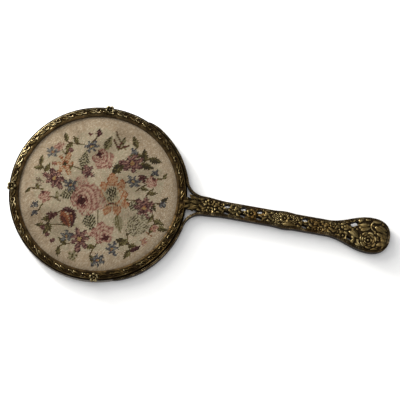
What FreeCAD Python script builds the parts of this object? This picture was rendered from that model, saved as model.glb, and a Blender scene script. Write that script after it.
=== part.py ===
import FreeCAD, Part
import os
from math import atan2, cos, degrees, pi, radians, sin, sqrt

# A dressing-table hand mirror, in millimetres: a bevelled glass in a round brass head, a padded
# needlework panel on its back, and a pierced cast handle held by two rails that embrace the head.
#
# Frame: +X runs along the head's axis from its far side to the handle, and +Z is the needlework
# side, so the mirror lies face down. z = 0 is the plane it lies on, and the origin is the middle
# of the bounding box's base. Plan positions below are taken from the head's centre, and the last
# step moves every solid from there to the row's frame.

# ---- driving dimensions ----------------------------------------------------------------------
HEAD_R = 70.0           # outer radius of the head's side wall
WALL = 1.2              # sheet thickness of the side wall
WINDOW_R = 62.2         # radius of the needlework that shows
REACH = 162.0           # handle length, from the head's outer wall to the tip
CANT_DEG = 4.0          # the handle turns this much towards -Y from the head's axis

# heights of the layers in the head, from the mirror face up
LIP_TOP = 1.3           # the front bezel's lip over the glass
HOOP_Z = (0.9, 8.6)     # side wall
GLASS_BACK = 3.5
GLASS_FACE = 0.5        # raised middle of the glass, inside its bevel
SILVER_TOP = 3.65
CUSHION_TOP = 4.6
BOARD_TOP = 6.0
CLOTH = 0.65            # thickness of the stitched canvas
DOME_RISE = 2.6         # crown of the padded panel over its edge
CREST_Z = 10.7          # highest line of the embossed back bezel

# rosettes on the back bezel
ROSETTE_AT = 67.8       # radius of the circle that their centres lie on
ROSETTE_ANGLES = {"rosette_far": 182.0, "rosette_left": 89.0, "rosette_right": 274.0}
PETALS = 5
PETAL_R = 1.45
PETAL_OFFSET = 2.1
PIN_R = 0.6

# side rails: each one is a yoke arm on the head and then an edge of the handle
RAIL_W = 1.9
RAIL_Z = (1.7, 9.1)
ARM_DEG = {1: 62.0, -1: 74.0}           # where each arm ends, from the head's axis; 1 is the +Y side
RIVET_DEG = (54.0, 30.0)
RIVET_R = 0.8

# leafy casting at the handle's root
ROOT_BLOCK_HALF = 4.6
LEAF_Z = (8.6, 11.3)

# handle
MID_Z = 5.4             # the plane where its two shells meet
SHELL_H = 3.4           # from that plane to a shell's outer face, below the rails' edges
SHELL_T = 1.2
SHELL_START = 8.0       # the shells begin this far out from the head's wall
SPACER_R = 1.3
SPACERS_AT = (14.0, 51.5, 79.0, 113.0, 146.0)

# half width of the handle over its rails: a root that tapers to a level grip, a small bulge on
# the grip, and a flare to a paddle with a full round end
ROOT_AT = 13.0          # distances out are from the head's wall
ROOT_HALF = 7.4
TAPER_END = 32.0
GRIP_HALF = 6.2
BULGE_AT = 78.0
BULGE_HALF = 6.9
BULGE_REACH = 10.0
FLARE_START = 112.0
PADDLE_AT = 146.0       # where the paddle is widest
PADDLE_HALF = 14.0
END_POWER = 2.4         # superellipse of the paddle's end; 2 would be an ellipse
BEND_R = 14.0           # outside radius where an arm swings from the head to the handle

# openings through both shells: pairs across the grip, and two in the paddle
PAIRS_AT = (32.0, 45.0, 58.0, 94.0)
PAIR_OFFSET = 2.6
PAIR_SLOT = (2.2, 1.25, 12.0)           # half length, half width, turn towards the middle
PADDLE_SLOTS = [(133.0, 6.5, 3.2, 1.7, 25.0), (130.0, -5.5, 2.2, 1.2, -25.0)]

BEZEL_IN = WINDOW_R + 1.8               # where the embossed band meets the smooth lip
INNER_R = HEAD_R - WALL                 # inside of the side wall
BOARD_R = INNER_R - 1.5                 # discs that fill the head
PANEL_BOARD_TOP = BOARD_TOP + CLOTH + 1.0
PANEL_EDGE_TOP = PANEL_BOARD_TOP + CLOTH
RING_TOP = PANEL_EDGE_TOP + 0.3         # the lip ring's flange, under the embossed band


# ---- helpers ---------------------------------------------------------------------------------
def disc(radius, low, high):
    return Part.makeCylinder(radius, high - low, FreeCAD.Vector(0, 0, low))


def loop(edges):
    """A closed outline from a list of points, where a triple of points is an arc."""
    shapes = []
    for item in edges:
        points = [FreeCAD.Vector(*p) for p in item]
        if len(points) == 3:
            shapes.append(Part.Arc(*points).toShape())
        else:
            shapes.append(Part.makeLine(*points))
    return Part.Face(Part.Wire(shapes))


def turned(profile):
    """A solid of revolution from (radius, height) runs; a run of three is an arc."""
    edges = [[(r, 0.0, z) for r, z in run] for run in profile]
    return loop(edges).revolve(FreeCAD.Vector(0, 0, 0), FreeCAD.Vector(0, 0, 1), 360)


def polygon(points):
    """The straight runs of a closed outline."""
    return [[a, b] for a, b in zip(points, points[1:] + points[:1])]


def on_handle(u, v, z=0.0):
    """A place on the handle, u out from the head's wall and v across, in the head's plan."""
    turn = radians(-CANT_DEG)
    return FreeCAD.Vector(HEAD_R + u * cos(turn) - v * sin(turn), u * sin(turn) + v * cos(turn), z)


def polar(radius, degrees, z=0.0):
    return FreeCAD.Vector(radius * cos(radians(degrees)), radius * sin(radians(degrees)), z)


def curve(points):
    spline = Part.BSplineCurve()
    spline.interpolate(points)
    return spline.toShape()


def inset(points, depth, side):
    """The points moved by depth to one side of the run they make."""
    moved = []
    for i, here in enumerate(points):
        before = points[max(i - 1, 0)]
        after = points[min(i + 1, len(points) - 1)]
        along = (after - before).normalize()
        moved.append(here + FreeCAD.Vector(-along.y, along.x, 0) * depth * side)
    return moved


def prism(edges, low, high):
    face = Part.Face(Part.Wire(edges))
    solid = face.extrude(FreeCAD.Vector(0, 0, high - low))
    solid.translate(FreeCAD.Vector(0, 0, low))
    return solid


# ---- the head --------------------------------------------------------------------------------
def front_bezel():
    """The rim round the glass: a lip, a flat ring to lie on and a wall inside the hoop."""
    return turned([
        [(BEZEL_IN - 1.0, LIP_TOP), (BEZEL_IN - 1.3, 0.8), (BEZEL_IN - 0.3, 0.25)],
        [(BEZEL_IN - 0.3, 0.25), (BEZEL_IN + 0.7, 0.0)],
        [(BEZEL_IN + 0.7, 0.0), (HEAD_R - 1.5, 0.0)],
        [(HEAD_R - 1.5, 0.0), (HEAD_R - 0.67, 0.25), (HEAD_R - 0.1, HOOP_Z[0])],
        [(HEAD_R - 0.1, HOOP_Z[0]), (INNER_R - 0.1, HOOP_Z[0])],
        [(INNER_R - 0.1, HOOP_Z[0]), (INNER_R - 0.1, 7.4)],
        [(INNER_R - 0.1, 7.4), (INNER_R - 1.2, 7.4)],
        [(INNER_R - 1.2, 7.4), (INNER_R - 1.2, LIP_TOP)],
        [(INNER_R - 1.2, LIP_TOP), (BEZEL_IN - 1.0, LIP_TOP)],
    ])


def hoop():
    """The plain side wall that the bezels close over and the arms are riveted to."""
    wall = disc(HEAD_R, *HOOP_Z).cut(disc(INNER_R, *HOOP_Z))
    return wall.cut(Part.makeCompound(rivet_shanks()))


def mirror_glass():
    """A disc with a wide polished bevel on its face, thinner where the lip covers it."""
    edge_z = LIP_TOP + 0.1
    bevel_out = BEZEL_IN - 1.4
    bevel_in = bevel_out - 7.5
    return turned(polygon([
        (0.0, GLASS_FACE), (bevel_in, GLASS_FACE), (bevel_out, edge_z), (BOARD_R, edge_z),
        (BOARD_R, GLASS_BACK), (0.0, GLASS_BACK),
    ]))


def petit_point_panel():
    """Stitched canvas: crowned over the padding and turned under round its board."""
    hem_r = BOARD_R - 9.0
    outer_dome = [(WINDOW_R, PANEL_EDGE_TOP), (0.0, PANEL_EDGE_TOP + DOME_RISE)]
    inner_dome = [(0.0, PANEL_BOARD_TOP + DOME_RISE), (WINDOW_R, PANEL_BOARD_TOP)]
    return turned([
        [outer_dome[1], dome_point(PANEL_EDGE_TOP), outer_dome[0]],
        [(WINDOW_R, PANEL_EDGE_TOP), (BOARD_R, PANEL_EDGE_TOP)],
        [(BOARD_R, PANEL_EDGE_TOP), (BOARD_R, BOARD_TOP)],
        [(BOARD_R, BOARD_TOP), (hem_r, BOARD_TOP)],
        [(hem_r, BOARD_TOP), (hem_r, BOARD_TOP + CLOTH)],
        [(hem_r, BOARD_TOP + CLOTH), (BOARD_R - CLOTH, BOARD_TOP + CLOTH)],
        [(BOARD_R - CLOTH, BOARD_TOP + CLOTH), (BOARD_R - CLOTH, PANEL_BOARD_TOP)],
        [(BOARD_R - CLOTH, PANEL_BOARD_TOP), (WINDOW_R, PANEL_BOARD_TOP)],
        [inner_dome[1], dome_point(PANEL_BOARD_TOP), inner_dome[0]],
        [inner_dome[0], outer_dome[1]],
    ])


def dome_point(edge_z):
    """A point half way out on the arc from the crown down to a dome's edge."""
    sphere_r = (WINDOW_R ** 2 + DOME_RISE ** 2) / (2 * DOME_RISE)
    half = WINDOW_R / 2
    return (half, edge_z + DOME_RISE - sphere_r + sqrt(sphere_r ** 2 - half ** 2))


def batting():
    """The lens of padding between the board and the canvas."""
    return turned([
        [(0.0, PANEL_BOARD_TOP), (WINDOW_R, PANEL_BOARD_TOP)],
        [(WINDOW_R, PANEL_BOARD_TOP), dome_point(PANEL_BOARD_TOP), (0.0, PANEL_BOARD_TOP + DOME_RISE)],
        [(0.0, PANEL_BOARD_TOP + DOME_RISE), (0.0, PANEL_BOARD_TOP)],
    ])


def panel_retaining_ring():
    """The smooth lip that frames the needlework, with a flange under the embossed band."""
    ring = turned([
        [(WINDOW_R, PANEL_EDGE_TOP), (WINDOW_R, PANEL_EDGE_TOP + 0.7)],
        [(WINDOW_R, PANEL_EDGE_TOP + 0.7), (WINDOW_R + 0.8, PANEL_EDGE_TOP + 1.7), (BEZEL_IN, 9.7)],
        [(BEZEL_IN, 9.7), (BEZEL_IN, RING_TOP)],
        [(BEZEL_IN, RING_TOP), (INNER_R - 0.2, RING_TOP)],
        [(INNER_R - 0.2, RING_TOP), (INNER_R - 0.2, PANEL_EDGE_TOP)],
        [(INNER_R - 0.2, PANEL_EDGE_TOP), (WINDOW_R, PANEL_EDGE_TOP)],
    ])
    return ring.cut(Part.makeCompound(pin_shanks()))


def bezel_blank():
    """The stamped band: hollow side down over the lip ring's flange, with a bead outside."""
    return turned([
        [(BEZEL_IN, RING_TOP), (BEZEL_IN, 9.7)],
        [(BEZEL_IN, 9.7), ((BEZEL_IN + HEAD_R - 1.2) / 2, CREST_Z), (HEAD_R - 1.2, 10.0)],
        [(HEAD_R - 1.2, 10.0), (HEAD_R - 0.1, 9.7), (HEAD_R, RING_TOP)],
        [(HEAD_R, RING_TOP), (BEZEL_IN, RING_TOP)],
    ])


def back_bezel():
    return bezel_blank().cut(Part.makeCompound(pin_shanks()))


def pin_shanks():
    low = PANEL_EDGE_TOP - 0.6
    height = CREST_Z + 0.3 - low
    return [Part.makeCylinder(PIN_R, height, polar(ROSETTE_AT, a, low)) for a in ROSETTE_ANGLES.values()]


def rosette(angle):
    """Five round petals about a boss, seated on the curve of the band."""
    centre = polar(ROSETTE_AT, angle, 9.3)
    flower = Part.makeCylinder(1.3, 2.9, centre)
    for i in range(PETALS):
        offset = polar(PETAL_OFFSET, angle + 360.0 * i / PETALS)
        flower = flower.fuse(Part.makeCylinder(PETAL_R, 2.2, centre + offset))
    flower = flower.removeSplitter().cut(bezel_blank())
    flower = flower.cut(disc(HEAD_R, 0.0, 9.9))
    return flower.cut(Part.makeCompound(pin_shanks()))


# ---- the handle's outline --------------------------------------------------------------------
def blend(t):
    """A smooth step from 0 to 1."""
    return 0.5 - 0.5 * cos(pi * min(max(t, 0.0), 1.0))


def half_width(u):
    taper = 1.0 - blend((u - ROOT_AT) / (TAPER_END - ROOT_AT))
    bulge = blend(1.0 - abs(u - BULGE_AT) / BULGE_REACH)
    flare = blend((u - FLARE_START) / (PADDLE_AT - FLARE_START))
    return (GRIP_HALF + (ROOT_HALF - GRIP_HALF) * taper + (BULGE_HALF - GRIP_HALF) * bulge
            + (PADDLE_HALF - GRIP_HALF) * flare)


def side_edge(side):
    """The handle's edge on one side, from its root to the tip; side is 1 for +Y."""
    spans = 19
    step = (PADDLE_AT - ROOT_AT) / spans
    stations = [ROOT_AT + step * i for i in range(spans)]
    edge = [on_handle(u, side * half_width(u)) for u in stations]
    for turn in (0, 15, 30, 45, 60, 75, 84):
        u = PADDLE_AT + (REACH - PADDLE_AT) * sin(radians(turn)) ** (2 / END_POWER)
        edge.append(on_handle(u, side * PADDLE_HALF * cos(radians(turn)) ** (2 / END_POWER)))
    return edge + [on_handle(REACH, 0.0)]


# ---- the rails and rivets --------------------------------------------------------------------
def arm_bend(side):
    """The concave arc, tangent to the arm's circle and to the handle's edge at its root."""
    centre_v = side * (ROOT_HALF + BEND_R)
    head_u = -HEAD_R * cos(radians(CANT_DEG))
    head_v = -HEAD_R * sin(radians(CANT_DEG))
    reach = HEAD_R + RAIL_W + BEND_R
    centre = on_handle(head_u + sqrt(reach ** 2 - (centre_v - head_v) ** 2), centre_v)
    start = degrees(atan2(-centre.y, -centre.x))
    end = -side * 90.0 - CANT_DEG
    sweep = (end - start + 180.0) % 360.0 - 180.0
    points = [centre + polar(BEND_R, start + sweep * t) for t in (0.0, 0.3, 0.6)]
    return degrees(atan2(centre.y, centre.x)), points


def rail_edge(side):
    """The outer edge of a rail, from the end of its arm to the tip; side is 1 for +Y."""
    swing, bend = arm_bend(side)
    steps = 5
    arm_r = HEAD_R + RAIL_W
    first = side * ARM_DEG[side]
    angles = [first + (swing - first) * i / steps for i in range(steps)]
    return [polar(arm_r, a) for a in angles] + bend + side_edge(side)


def rail(side):
    outer = rail_edge(side)
    inner = inset(outer, RAIL_W, -side)
    inner[-1] = on_handle(REACH - RAIL_W, 0.0)
    band = [curve(outer), Part.makeLine(outer[-1], inner[-1]), curve(inner),
            Part.makeLine(inner[0], outer[0])]
    return prism(band, *RAIL_Z).cut(Part.makeCompound(rivet_shanks()))


def rivet_shanks():
    """Two rivets through each arm and the side wall, flush outside."""
    shanks = []
    for side in (1, -1):
        for degrees in RIVET_DEG:
            start = polar(INNER_R, side * degrees, MID_Z)
            out = polar(1.0, side * degrees)
            shanks.append(Part.makeCylinder(RIVET_R, WALL + RAIL_W - 0.1, start, out))
    return shanks


# ---- the handle ------------------------------------------------------------------------------
def handle_plan(depth):
    """The handle's outline, depth inside the rails' outer edge, closed square at the root."""
    left = inset(side_edge(1), depth, -1)[:-1]
    right = inset(side_edge(-1), depth, 1)[:-1]
    root_half = ROOT_HALF - depth
    start = on_handle(SHELL_START, root_half)
    end = on_handle(SHELL_START, -root_half)
    edge = [start] + left + [on_handle(REACH - depth, 0.0)] + right[::-1] + [end]
    return [curve(edge), Part.makeLine(end, start)]


def piercing(u, v, half_length, half_width_of_slot, turn):
    """A rounded slot straight through the handle."""
    run = half_length - half_width_of_slot
    depth = 2 * SHELL_H + 2
    ends = [Part.makeCylinder(half_width_of_slot, depth, FreeCAD.Vector(x, 0, 0)) for x in (-run, run)]
    bar = Part.makeBox(2 * run, 2 * half_width_of_slot, depth, FreeCAD.Vector(-run, -half_width_of_slot, 0))
    slot = bar.fuse(ends).removeSplitter()
    slot.rotate(FreeCAD.Vector(0, 0, 0), FreeCAD.Vector(0, 0, 1), turn - CANT_DEG)
    slot.translate(on_handle(u, v, MID_Z - SHELL_H - 1))
    return slot


def piercings():
    half_length, slot_half, turn = PAIR_SLOT
    pairs = [(u, side * PAIR_OFFSET, half_length, slot_half, side * turn)
             for u in PAIRS_AT for side in (1, -1)]
    return [piercing(*p) for p in pairs + PADDLE_SLOTS]


def shell(side):
    """One pierced half of the handle; side is 1 for the back, over the middle plane."""
    face_z = MID_Z + side * SHELL_H
    inner_z = face_z - side * SHELL_T
    outer = prism(handle_plan(RAIL_W), *sorted((MID_Z, face_z)))
    hollow = prism(handle_plan(RAIL_W + 0.9), *sorted((MID_Z, inner_z)))
    return outer.cut(hollow).cut(Part.makeCompound(piercings()))


def handle_spacers():
    """Posts that hold the two shells apart."""
    height = 2 * (SHELL_H - SHELL_T)
    low = MID_Z - SHELL_H + SHELL_T
    return Part.makeCompound([Part.makeCylinder(SPACER_R, height, on_handle(u, 0, low)) for u in SPACERS_AT])


def plan_prism(places, low, high):
    """An upright prism on straight runs between (u, v) places on the handle."""
    corners = [on_handle(u, v) for u, v in places]
    return prism([Part.makeLine(a, b) for a, b in polygon(corners)], low, high)


def root_scroll():
    """The leafy casting between the arms: a block on the wall and leaves over the band."""
    half = ROOT_BLOCK_HALF
    block = plan_prism([(-2, -half), (SHELL_START, -half), (SHELL_START, half), (-2, half)], *RAIL_Z)
    leaves = plan_prism([(-6, -1.5), (-3, -half + 1), (SHELL_START, -half), (SHELL_START, half),
                         (-3, half - 1), (-6, 1.5)], *LEAF_Z)
    block = block.cut(disc(HEAD_R, 0, CREST_Z))
    leaves = leaves.cut(bezel_blank()).cut(disc(HEAD_R, 0, 9.7))
    leaves = leaves.cut(disc(BEZEL_IN, 0, CREST_Z + 1))
    return block.fuse(leaves).removeSplitter()


# ---- assembly --------------------------------------------------------------------------------
def parts():
    nodes = {
        "front_bezel": front_bezel(),
        "hoop": hoop(),
        "mirror_glass": mirror_glass(),
        "mirror_silvering": disc(BOARD_R - 0.3, GLASS_BACK, SILVER_TOP),
        "mirror_cushion": disc(BOARD_R, SILVER_TOP, CUSHION_TOP),
        "backing_board": disc(BOARD_R, CUSHION_TOP, BOARD_TOP),
        "mounting_board": disc(BOARD_R - CLOTH, BOARD_TOP + CLOTH, PANEL_BOARD_TOP),
        "batting": batting(),
        "petit_point_panel": petit_point_panel(),
        "panel_retaining_ring": panel_retaining_ring(),
        "back_bezel": back_bezel(),
        "rosette_pins": Part.makeCompound(pin_shanks()),
        "rail_left": rail(1),
        "rail_right": rail(-1),
        "arm_rivets": Part.makeCompound(rivet_shanks()),
        "root_scroll": root_scroll(),
        "handle_back_shell": shell(1),
        "handle_front_shell": shell(-1),
        "handle_spacers": handle_spacers(),
    }
    for name, angle in ROSETTE_ANGLES.items():
        nodes[name] = rosette(angle)
    return nodes


def main():
    nodes = parts()
    box = FreeCAD.BoundBox()
    for shape in nodes.values():
        box.add(shape.optimalBoundingBox(False))
    middle = FreeCAD.Vector(-(box.XMin + box.XMax) / 2, -(box.YMin + box.YMax) / 2, 0)
    print("head centre", middle, "size", box.XLength, box.YLength, box.ZLength, "low", box.ZMin)
    os.makedirs("parts", exist_ok=True)
    for name, shape in nodes.items():
        shape.translate(middle)
        good = shape.isValid() and all(s.Volume > 0 for s in shape.Solids)
        print(name, len(shape.Solids), round(shape.Volume, 1), "ok" if good else "BROKEN")
        shape.exportStep(f"parts/{name}.step")


main()
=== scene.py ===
"""The looks of a dressing-table hand mirror: petit-point back, embossed brass rim, pierced handle.

Lengths are in millimetres from the head's centre until a mesh is made. The head's plan is X and Y,
and the handle has its own plan: u out from the head's wall and v across, towards +Y.
"""
from math import cos, pi, radians, sin, sqrt

import bpy
import numpy as np
from mathutils import Matrix, Vector


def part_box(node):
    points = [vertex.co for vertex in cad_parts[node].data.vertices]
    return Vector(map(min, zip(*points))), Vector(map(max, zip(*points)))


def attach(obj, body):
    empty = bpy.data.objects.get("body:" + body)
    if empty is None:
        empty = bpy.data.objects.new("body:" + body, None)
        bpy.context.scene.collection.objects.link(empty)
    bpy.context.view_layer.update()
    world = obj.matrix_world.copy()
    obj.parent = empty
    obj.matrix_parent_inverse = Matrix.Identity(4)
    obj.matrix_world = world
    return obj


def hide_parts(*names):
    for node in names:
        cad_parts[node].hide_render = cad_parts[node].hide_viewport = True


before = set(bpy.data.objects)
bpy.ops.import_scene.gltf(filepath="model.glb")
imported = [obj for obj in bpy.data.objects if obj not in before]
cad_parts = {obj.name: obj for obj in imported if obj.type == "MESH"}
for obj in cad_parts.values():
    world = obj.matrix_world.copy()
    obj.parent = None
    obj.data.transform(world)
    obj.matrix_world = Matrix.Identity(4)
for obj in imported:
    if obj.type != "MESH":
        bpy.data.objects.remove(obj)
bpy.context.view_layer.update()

MM = 0.001
UP = Vector((0.0, 0.0, 1.0))


# ---- sizes from the frame --------------------------------------------------------------------
def low_mm(node, axis):
    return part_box(node)[0][axis] / MM


def high_mm(node, axis):
    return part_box(node)[1][axis] / MM


HEAD_X = (low_mm("hoop", 0) + high_mm("hoop", 0)) / 2
HEAD_Y = (low_mm("hoop", 1) + high_mm("hoop", 1)) / 2
HEAD_R = high_mm("hoop", 0) - HEAD_X
WINDOW_R = 62.2
BEZEL_IN = WINDOW_R + 1.8
BOARD_R = high_mm("petit_point_panel", 0) - HEAD_X
BOARD_TOP = high_mm("backing_board", 2)
PANEL_EDGE_TOP = low_mm("panel_retaining_ring", 2)
PANEL_TOP = high_mm("petit_point_panel", 2)
RING_TOP = low_mm("back_bezel", 2)
CREST_Z = high_mm("back_bezel", 2)
HOOP_LOW = low_mm("hoop", 2)
RAIL_Z = (low_mm("rail_left", 2), high_mm("rail_left", 2))
PLATE_TOP = high_mm("handle_back_shell", 2)
PLATE_LOW = low_mm("handle_front_shell", 2)

# the handle's outline: the same driving dimensions as its solids
CANT = radians(-4.0)
REACH = 162.0
ROOT_AT, ROOT_HALF, TAPER_END = 13.0, 7.4, 32.0
GRIP_HALF = 6.2
BULGE_AT, BULGE_HALF, BULGE_REACH = 78.0, 6.9, 10.0
FLARE_START, PADDLE_AT, PADDLE_HALF = 112.0, 146.0, 14.0
END_POWER = 2.4
BEND_R = 14.0
RAIL_W = 1.9
ARM_END = {1: (62.0, 9.0), -1: (74.0, 24.0)}            # each arm's last degree, and how long it thins out
PAIRS_AT = (32.0, 45.0, 58.0, 94.0)
PAIR_OFFSET = 2.6
PAIR_SLOT = (2.2, 1.25, 12.0)
PADDLE_SLOTS = [(133.0, 6.5, 3.2, 1.7, 25.0), (130.0, -5.5, 2.2, 1.2, -25.0)]

# the needlework stands this much askew to the head's axis, and so does the camera's horizontal
UPRIGHT = radians(6.35)


# ---- arithmetic ------------------------------------------------------------------------------
def unit(t):
    """Values held between 0 and 1."""
    return np.clip(t, 0.0, 1.0)


def blend(t):
    """A smooth step from 0 to 1."""
    return 0.5 - 0.5 * np.cos(pi * unit(t))


def rotated(x, y, angle):
    """Plan places turned about the origin."""
    return x * cos(angle) - y * sin(angle), x * sin(angle) + y * cos(angle)


def run_along(path):
    """How far along a path each of its points is."""
    return np.concatenate([[0], np.cumsum(np.linalg.norm(np.diff(path, axis=0), axis=1))])


def bead_profile(across, middle, half, height):
    """A half-round section."""
    return height * np.sqrt(unit(1.0 - ((across - middle) / half) ** 2))


class Plan:
    """Places on a plan, to be measured from any one place."""

    def __init__(self, x, y):
        self.x, self.y = x, y

    def local(self, x, y, angle=0.0):
        """Distances from a place, along and across a direction."""
        dx, dy = self.x - x, self.y - y
        c, s = cos(radians(angle)), sin(radians(angle))
        return dx * c + dy * s, dy * c - dx * s

    def polar(self, x, y):
        """Distance and direction from a place."""
        dx, dy = self.local(x, y)
        return np.hypot(dx, dy), np.arctan2(dy, dx)


# ---- mesh helpers ----------------------------------------------------------------------------
def to_world(points):
    world = np.asarray(points, float).copy()
    world[:, 0] += HEAD_X
    world[:, 1] += HEAD_Y
    return world * MM


def make_piece(name, points, faces, material, high=None):
    """A smooth-shaded object from points in millimetres; high is how exposed each point is."""
    mesh = bpy.data.meshes.new(name)
    mesh.from_pydata(to_world(points).tolist(), [], np.asarray(faces).tolist())
    if high is not None:
        layer = mesh.attributes.new("high", "FLOAT", "POINT")
        layer.data.foreach_set("value", unit(high).astype(np.float32))
    mesh.shade_smooth()
    mesh.materials.append(material)
    mesh.update()
    piece = bpy.data.objects.new(name, mesh)
    bpy.context.scene.collection.objects.link(piece)
    return piece


def install(piece, slot, *nodes):
    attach(piece, "root")
    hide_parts(*nodes)


def grid_faces(rows, cols, wrap_rows=False, wrap_cols=False):
    """Quads over a rows by cols grid of points, closed round where a direction wraps."""
    i, j = np.meshgrid(np.arange(rows if wrap_rows else rows - 1),
                       np.arange(cols if wrap_cols else cols - 1), indexing="ij")
    i, j = i.ravel(), j.ravel()
    i2, j2 = (i + 1) % rows, (j + 1) % cols
    return np.stack([i * cols + j, i2 * cols + j, i2 * cols + j2, i * cols + j2], 1)


def corners(shown):
    """What a grid of points says at the four corners of each cell."""
    return shown[:-1, :-1], shown[1:, 1:], shown[1:, :-1], shown[:-1, 1:]


def turned(profile, steps):
    """Points and faces of a closed (radius, height) profile turned about the head's axis."""
    profile = np.asarray(profile, float)
    angles = np.arange(steps) * 2 * pi / steps
    points = np.empty((steps, len(profile), 3))
    points[..., 0] = profile[:, 0] * np.cos(angles)[:, None]
    points[..., 1] = profile[:, 0] * np.sin(angles)[:, None]
    points[..., 2] = profile[:, 1]
    return points.reshape(-1, 3), grid_faces(steps, len(profile), True, True)


def capped(sections):
    """Rings of points along a body, with each end drawn in to its middle."""
    ends = [np.broadcast_to(sections[k].mean(0), sections[k].shape)[None] for k in (0, -1)]
    return np.concatenate([ends[0], sections, ends[1]])


def joined(parts):
    """One set of points, faces and exposures from several."""
    points, faces, highs, start = [], [], [], 0
    for p, f, h in parts:
        points.append(p)
        faces.append(np.asarray(f) + start)
        highs.append(h)
        start += len(p)
    return np.concatenate(points), np.concatenate(faces), np.concatenate(highs)


def smooth_path(points, count):
    """Evenly spread points on a Catmull-Rom curve through a few given ones."""
    p = np.asarray(points, float)
    p = np.vstack([2 * p[0] - p[1], p, 2 * p[-1] - p[-2]])
    t = np.linspace(0, len(p) - 3, count * 4)
    k = np.minimum(t.astype(int), len(p) - 4)
    f = (t - k)[:, None]
    a, b, c, d = p[k], p[k + 1], p[k + 2], p[k + 3]
    path = 0.5 * (2 * b + (c - a) * f + (2 * a - 5 * b + 4 * c - d) * f ** 2
                  + (3 * b - a - 3 * c + d) * f ** 3)
    run = run_along(path)
    even = np.linspace(0, run[-1], count)
    return np.stack([np.interp(even, run, path[:, i]) for i in range(path.shape[1])], 1)


def soften(field, reach, wrap=False):
    """A box blur over a grid, used to tell recesses from high spots."""
    for axis in (0, 1):
        mode = "wrap" if wrap and axis == 0 else "edge"
        pad = [(reach, reach) if k == axis else (0, 0) for k in (0, 1)]
        total = np.cumsum(np.pad(field, pad, mode=mode), axis=axis)
        total = np.insert(total, 0, 0.0, axis=axis)
        width = 2 * reach + 1
        upper = np.take(total, np.arange(width, total.shape[axis]), axis=axis)
        lower = np.take(total, np.arange(0, total.shape[axis] - width), axis=axis)
        field = (upper - lower) / width
    return field


# ---- the handle's plan -----------------------------------------------------------------------
def half_width(u):
    taper = 1.0 - blend((u - ROOT_AT) / (TAPER_END - ROOT_AT))
    bulge = blend(1.0 - np.abs(u - BULGE_AT) / BULGE_REACH)
    flare = blend((u - FLARE_START) / (PADDLE_AT - FLARE_START))
    side = (GRIP_HALF + (ROOT_HALF - GRIP_HALF) * taper + (BULGE_HALF - GRIP_HALF) * bulge
            + (PADDLE_HALF - GRIP_HALF) * flare)
    past = unit((u - PADDLE_AT) / (REACH - PADDLE_AT))
    return side * (1.0 - past ** END_POWER) ** (1 / END_POWER)


def on_head(u, v):
    """Handle places in the head's plan."""
    return HEAD_R + u * cos(CANT) - v * sin(CANT), u * sin(CANT) + v * cos(CANT)


def on_handle(x, y):
    """Places in the head's plan as handle u and v."""
    return (x - HEAD_R) * cos(CANT) + y * sin(CANT), -(x - HEAD_R) * sin(CANT) + y * cos(CANT)


# ---- materials -------------------------------------------------------------------------------
def linear(colour):
    """A display colour, 0 to 1, as linear light."""
    return tuple(c / 12.92 if c <= 0.04045 else ((c + 0.055) / 1.055) ** 2.4 for c in colour)


class Nodes:
    """A short way to write a node tree."""

    def __init__(self, name):
        self.material = bpy.data.materials.new(name)
        self.material.use_nodes = True
        self.tree = self.material.node_tree
        self.shader = self.tree.nodes["Principled BSDF"]

    def add(self, kind, inputs=(), **settings):
        node = self.tree.nodes.new(kind)
        for key, value in settings.items():
            setattr(node, key, value)
        for key, value in dict(inputs).items():
            self.feed(node.inputs[key], value)
        return node

    def feed(self, socket, value):
        if isinstance(value, bpy.types.NodeSocket):
            self.tree.links.new(value, socket)
        else:
            socket.default_value = value

    def place(self):
        return self.add("ShaderNodeTexCoord").outputs["Object"]

    def noise(self, scale, detail=4.0, rough=0.55, vector=None):
        inputs = {"Vector": vector or self.place(), "Scale": scale, "Detail": detail, "Roughness": rough}
        return self.add("ShaderNodeTexNoise", inputs).outputs["Fac"]

    def math(self, operation, a, b=0.5, clamp=False):
        return self.add("ShaderNodeMath", {0: a, 1: b}, operation=operation, use_clamp=clamp).outputs[0]

    def spread(self, value, low, high, to_low=0.0, to_high=1.0):
        inputs = {"Value": value, "From Min": low, "From Max": high, "To Min": to_low, "To Max": to_high}
        return self.add("ShaderNodeMapRange", inputs, interpolation_type="SMOOTHSTEP").outputs["Result"]

    def mix(self, factor, a, b, how="MIX"):
        node = self.add("ShaderNodeMix", {"Factor": factor}, data_type="RGBA", blend_type=how)
        for socket, value in ((node.inputs[6], a), (node.inputs[7], b)):
            self.feed(socket, value if isinstance(value, bpy.types.NodeSocket) else (*value, 1.0))
        return node.outputs[2]

    def finish(self, bump=None, strength=0.3, distance=0.0002, **sockets):
        for key, value in sockets.items():
            value = (*value, 1.0) if isinstance(value, tuple) and len(value) == 3 else value
            self.feed(self.shader.inputs[key.replace("_", " ")], value)
        if bump is not None:
            inputs = {"Height": bump, "Strength": strength, "Distance": distance}
            normal = self.add("ShaderNodeBump", inputs).outputs["Normal"]
            self.feed(self.shader.inputs["Normal"], normal)
        return self.material


def tinged(colour, factors):
    return tuple(c * f for c, f in zip(colour, factors))


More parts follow.
